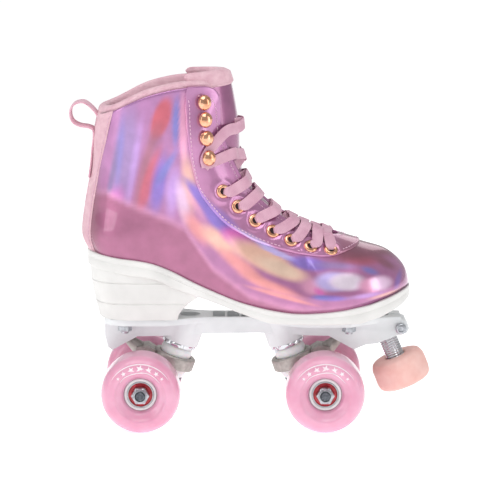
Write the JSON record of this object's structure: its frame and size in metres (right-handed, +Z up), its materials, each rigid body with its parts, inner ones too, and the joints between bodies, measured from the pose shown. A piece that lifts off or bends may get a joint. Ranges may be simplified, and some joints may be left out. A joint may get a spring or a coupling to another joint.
{
  "type": "quad roller skate",
  "caption": "High lace-up roller skate boot on a plate with two sprung steering trucks, four free-rolling wheels and a screw-adjusted toe stop.",
  "frame": {"origin": "middle of the skate's footprint on the ground", "axes": "+X towards the toe, +Y to the wearer's left (inner side of this right skate), +Z up"},
  "size_m": [0.3036, 0.123, 0.2974],
  "materials": {
    "holographic_vinyl": "glossy holographic film over pink vinyl",
    "pale_textile": "matt woven textile",
    "lace_weave": "flat woven lace",
    "white_plastic": "satin moulded",
    "pink_tyre": "glossy cast urethane",
    "white_core": "moulded",
    "red_shield": "bearing shield",
    "bearing_steel": "ground",
    "cast_metal": "matt cast",
    "white_cushion": "satin urethane",
    "chrome_washer": "polished",
    "stop_rubber": "matt",
    "steel_fastener": "zinc plated"
  },
  "bodies": {
    "boot": {"backstay": "pale_textile", "base_plate": "white_plastic", "bolt_front_inner": "steel_fastener", "bolt_front_outer": "steel_fastener", "bolt_rear_inner": "steel_fastener", "bolt_rear_outer": "steel_fastener", "collar_lining": "pale_textile", "eyestay": "holographic_vinyl", "footbed": "pale_textile", "heel_block": "white_plastic", "kingpin_front": "steel_fastener", "kingpin_nut_front": "steel_fastener", "kingpin_nut_rear": "steel_fastener", "kingpin_rear": "steel_fastener", "lace": "lace_weave", "lower_cushion_front": "white_cushion", "lower_cushion_rear": "white_cushion", "lower_washer_front": "steel_fastener", "lower_washer_rear": "steel_fastener", "outsole": "white_plastic", "pivot_cup_front": "white_cushion", "pivot_cup_rear": "white_cushion", "pull_loop": "pale_textile", "toe_stop_pinch_bolt": "steel_fastener", "tongue": "holographic_vinyl", "upper_cushion_front": "white_cushion", "upper_cushion_rear": "white_cushion", "upper_shell": "holographic_vinyl", "upper_washer_front": "chrome_washer", "upper_washer_rear": "chrome_washer"},
    "rear_truck": {"hanger_rear": "cast_metal", "axle_rear": "steel_fastener", "axle_nut_rear_outer": "steel_fastener", "axle_nut_rear_inner": "steel_fastener"},
    "front_truck": {"hanger_front": "cast_metal", "axle_front": "steel_fastener", "axle_nut_front_outer": "steel_fastener", "axle_nut_front_inner": "steel_fastener"},
    "wheel_rear_outer": {"tyre_rear_outer": "pink_tyre", "core_rear_outer": "white_core", "bearing_out_rear_outer": "red_shield", "bearing_in_rear_outer": "bearing_steel"},
    "wheel_rear_inner": {"tyre_rear_inner": "pink_tyre", "core_rear_inner": "white_core", "bearing_out_rear_inner": "red_shield", "bearing_in_rear_inner": "bearing_steel"},
    "wheel_front_outer": {"tyre_front_outer": "pink_tyre", "core_front_outer": "white_core", "bearing_out_front_outer": "red_shield", "bearing_in_front_outer": "bearing_steel"},
    "wheel_front_inner": {"tyre_front_inner": "pink_tyre", "core_front_inner": "white_core", "bearing_out_front_inner": "red_shield", "bearing_in_front_inner": "bearing_steel"},
    "toe_stop_screw": {"toe_stop_stem": "steel_fastener"},
    "toe_stop_pad": {"toe_stop_rubber": "stop_rubber"}
  },
  "joints": [
    {"name": "rear_truck_steer", "type": "hinge", "parent": "boot", "child": "rear_truck", "pos_m": [-0.10558, 0, 0.0714], "axis": [0.8953, 0, -0.4455], "range_deg": [-8, 8], "stiffness_Nm_per_rad": 40, "deforming": ["upper_cushion_rear", "lower_cushion_rear"]},
    {"name": "rear_outer_wheel_spin", "type": "hinge", "parent": "rear_truck", "child": "wheel_rear_outer", "pos_m": [-0.08908, -0.042, 0.0325], "axis": [0, 1, 0], "continuous": true},
    {"name": "rear_inner_wheel_spin", "type": "hinge", "parent": "rear_truck", "child": "wheel_rear_inner", "pos_m": [-0.08908, 0.042, 0.0325], "axis": [0, 1, 0], "continuous": true},
    {"name": "front_truck_steer", "type": "hinge", "parent": "boot", "child": "front_truck", "pos_m": [0.07942, 0, 0.0714], "axis": [0.8953, 0, 0.4455], "range_deg": [-8, 8], "stiffness_Nm_per_rad": 40, "deforming": ["upper_cushion_front", "lower_cushion_front"]},
    {"name": "front_outer_wheel_spin", "type": "hinge", "parent": "front_truck", "child": "wheel_front_outer", "pos_m": [0.06292, -0.042, 0.0325], "axis": [0, 1, 0], "continuous": true},
    {"name": "front_inner_wheel_spin", "type": "hinge", "parent": "front_truck", "child": "wheel_front_inner", "pos_m": [0.06292, 0.042, 0.0325], "axis": [0, 1, 0], "continuous": true},
    {"name": "toe_stop_travel", "type": "slide", "parent": "boot", "child": "toe_stop_screw", "axis": [0.3859, 0, -0.9225], "range_m": [-0.0062, 0.0062]},
    {"name": "toe_stop_turn", "type": "hinge", "parent": "toe_stop_screw", "child": "toe_stop_pad", "pos_m": [0.12292, 0, 0.054], "axis": [0.3859, 0, -0.9225], "range_deg": [-1080, 1080]}
  ],
  "couplings": [
    {"joint": "toe_stop_travel", "follows": "toe_stop_turn", "m_per_rad": 0.00031831}
  ]
}
